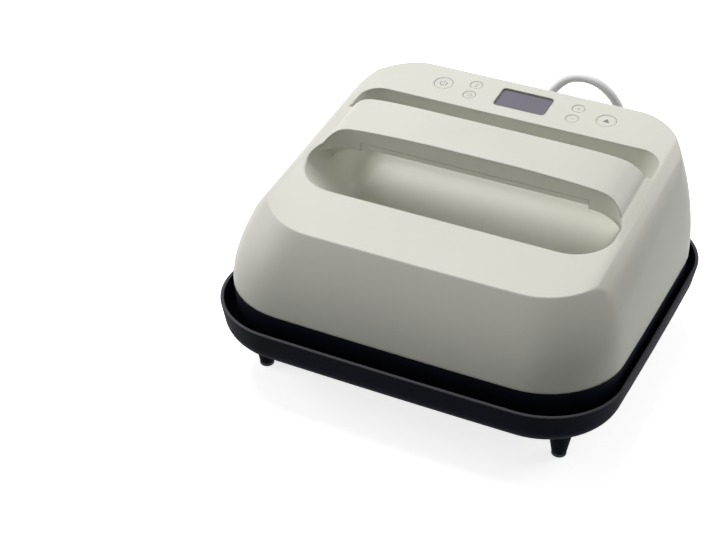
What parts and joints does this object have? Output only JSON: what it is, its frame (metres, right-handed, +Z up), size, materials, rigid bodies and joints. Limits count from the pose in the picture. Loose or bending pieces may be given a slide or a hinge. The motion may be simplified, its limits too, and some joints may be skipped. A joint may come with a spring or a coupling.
{
  "type": "handheld heat press with safety base",
  "caption": "Rounded handheld heat press with a bridging handle, display panel with keys and heated plate, seated in a dark tray base on legs, with mains cord and plug",
  "frame": {"origin": "on the table under the middle of the base tray", "axes": "X to the right as seen from the front, Y to the back, Z up; the press lifts along Z"},
  "size_m": [0.3326, 0.4732, 0.1731],
  "materials": {
    "pale_plastic": "fine satin texture",
    "dark_plastic": "satin",
    "key_plastic": "fine satin texture",
    "display_window": "polished, smoked",
    "display_frame": "matte",
    "circuit_board": "solder resist",
    "switch_plastic": "matte",
    "component_plastic": "moulded",
    "zinc_steel": "zinc plated",
    "sheet_steel": "mill finish",
    "plate_coating": "non-stick coated",
    "heater_sheath": "heat tinted",
    "probe_metal": "turned",
    "cutout_ceramic": "unglazed",
    "insulation_felt": "needled fibre",
    "liner_cloth": "coated cloth",
    "pad_rubber": "matte",
    "cord_rubber": "matte",
    "blade_brass": "bright"
  },
  "bodies": {
    "base": {"base_tray": "dark_plastic", "foot_pads": "pad_rubber", "foot_screws": "zinc_steel", "base_liner": "liner_cloth", "rest_pads": "pad_rubber"},
    "press": {"upper_housing": "pale_plastic", "handle_grip": "pale_plastic", "handle_screws": "zinc_steel", "display_lens": "display_window", "display_module": "display_frame", "control_board": "circuit_board", "key_switches": "switch_plastic", "board_screws": "zinc_steel", "lower_band": "dark_plastic", "band_screws": "zinc_steel", "heat_plate": "plate_coating", "heating_element": "heater_sheath", "heater_clamps": "sheet_steel", "clamp_screws": "zinc_steel", "temperature_probe": "probe_metal", "thermal_cutout": "cutout_ceramic", "insulation_blanket": "insulation_felt", "heat_shield": "sheet_steel", "plate_standoffs": "zinc_steel", "inner_frame": "sheet_steel", "frame_screws": "zinc_steel", "power_board": "circuit_board", "power_components": "component_plastic", "strain_relief": "cord_rubber", "mains_cord": "cord_rubber", "cord_coil": "cord_rubber", "plug": "cord_rubber", "plug_blades": "blade_brass"},
    "key_power_cap": {"key_power": "key_plastic"},
    "key_start_cap": {"key_start": "key_plastic"},
    "key_temperature_cap": {"key_temperature": "key_plastic"},
    "key_timer_cap": {"key_timer": "key_plastic"},
    "key_plus_cap": {"key_plus": "key_plastic"},
    "key_minus_cap": {"key_minus": "key_plastic"}
  },
  "joints": [
    {"name": "press_lift", "type": "slide", "parent": "base", "child": "press", "axis": [0, 0, 1], "range_m": [0, 0.12]},
    {"name": "power_press", "type": "slide", "parent": "press", "child": "key_power_cap", "axis": [0, 0.1132, -0.9936], "range_m": [0, 0.0006], "stiffness_N_per_m": 2500, "springref_m": -0.0004},
    {"name": "start_press", "type": "slide", "parent": "press", "child": "key_start_cap", "axis": [0, 0.1132, -0.9936], "range_m": [0, 0.0006], "stiffness_N_per_m": 2500, "springref_m": -0.0004},
    {"name": "temperature_press", "type": "slide", "parent": "press", "child": "key_temperature_cap", "axis": [0, 0.1132, -0.9936], "range_m": [0, 0.0006], "stiffness_N_per_m": 2000, "springref_m": -0.0004},
    {"name": "timer_press", "type": "slide", "parent": "press", "child": "key_timer_cap", "axis": [0, 0.1132, -0.9936], "range_m": [0, 0.0006], "stiffness_N_per_m": 2000, "springref_m": -0.0004},
    {"name": "plus_press", "type": "slide", "parent": "press", "child": "key_plus_cap", "axis": [0, 0.1132, -0.9936], "range_m": [0, 0.0006], "stiffness_N_per_m": 2000, "springref_m": -0.0004},
    {"name": "minus_press", "type": "slide", "parent": "press", "child": "key_minus_cap", "axis": [0, 0.1132, -0.9936], "range_m": [0, 0.0006], "stiffness_N_per_m": 2000, "springref_m": -0.0004}
  ]
}
